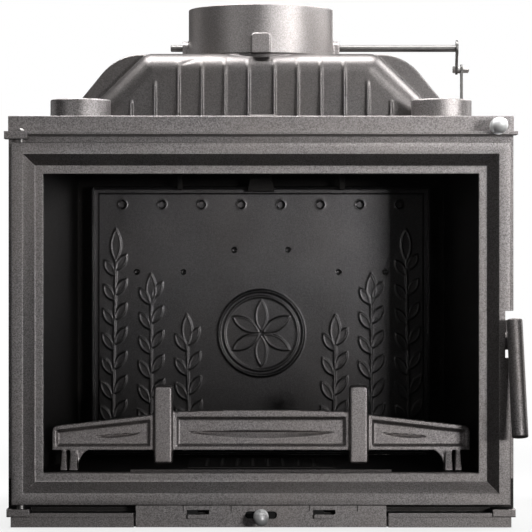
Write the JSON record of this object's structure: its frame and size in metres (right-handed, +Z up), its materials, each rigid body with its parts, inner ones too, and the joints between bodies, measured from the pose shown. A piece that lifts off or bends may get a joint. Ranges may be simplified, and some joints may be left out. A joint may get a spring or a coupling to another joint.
{
  "type": "fireplace insert",
  "caption": "Cast-iron fireplace insert with a bevelled glazed side-hung door, log guard, domed ribbed smoke hood, round flue collar with a damper, and pull controls.",
  "frame": {"origin": "on the ground under the flue's axis", "axes": "+X to the viewer's right, +Y from the door to the rear, +Z up; the door faces -Y"},
  "size_m": [0.6503, 0.4513, 0.667],
  "materials": {
    "body_iron": "satin dark grey stove paint over a fine sand-cast grain",
    "fire_iron": "matt near-black stove paint, fine cast grain",
    "steel": "dull plated steel",
    "knob_chrome": "polished",
    "door_glass": "clear heat-proof glass",
    "seal_rope": "woven heat-proof rope"
  },
  "bodies": {
    "root": {"base_casting": "body_iron", "air_cover": "body_iron", "cover_studs": "steel", "slider_guides": "steel", "front_frame": "body_iron", "top_plate": "body_iron", "left_wall": "fire_iron", "right_wall": "fire_iron", "rear_wall": "fire_iron", "tie_rods": "steel", "tie_nuts": "steel", "left_liner": "fire_iron", "right_liner": "fire_iron", "fireback": "fire_iron", "baffle_plate": "fire_iron", "floor_grate": "fire_iron", "ash_pan": "steel", "log_guard": "fire_iron", "smoke_hood": "body_iron", "hood_bolts": "steel", "flue_collar": "body_iron", "left_stub": "body_iron", "right_stub": "body_iron", "stub_caps": "body_iron", "top_hinge_pin": "steel", "bottom_hinge_pin": "steel", "hinge_washer": "steel"},
    "door": {"door_frame": "body_iron", "door_glass": "door_glass", "glass_gasket": "seal_rope", "glass_clips": "steel", "clip_screws": "steel", "door_rope_seal": "seal_rope", "handle_pivot": "steel"},
    "handle": {"handle_grip": "body_iron", "handle_lever": "body_iron"},
    "damper": {"damper_plate": "steel", "damper_shaft": "steel", "damper_crank": "steel", "crank_bolt": "steel", "crank_nut": "steel"},
    "control": {"control_rod": "steel", "control_link": "steel", "control_knob": "knob_chrome"},
    "air_control": {"air_slider": "steel", "slider_knob": "knob_chrome"}
  },
  "joints": [
    {"name": "door_hinge", "type": "hinge", "parent": "root", "child": "door", "pos_m": [-0.3008, -0.205, 0.255], "axis": [0, 0, -1], "range_deg": [0, 120]},
    {"name": "handle_turn", "type": "hinge", "parent": "door", "child": "handle", "pos_m": [0.3144, -0.207, 0.236], "axis": [1, 0, 0], "range_deg": [-22, 20]},
    {"name": "damper_turn", "type": "hinge", "parent": "root", "child": "damper", "pos_m": [0, 0, 0.617], "axis": [-1, 0, 0], "range_deg": [0, 52]},
    {"name": "control_link_turn", "type": "hinge", "parent": "damper", "child": "control", "pos_m": [0.2673, 0.01105, 0.58965], "axis": [-1, 0, 0], "range_deg": [-52, 0]},
    {"name": "air_slide", "type": "slide", "parent": "root", "child": "air_control", "axis": [1, 0, 0], "range_m": [-0.014, 0.014]}
  ],
  "couplings": [
    {"joint": "control_link_turn", "follows": "damper_turn", "ratio": -1}
  ]
}
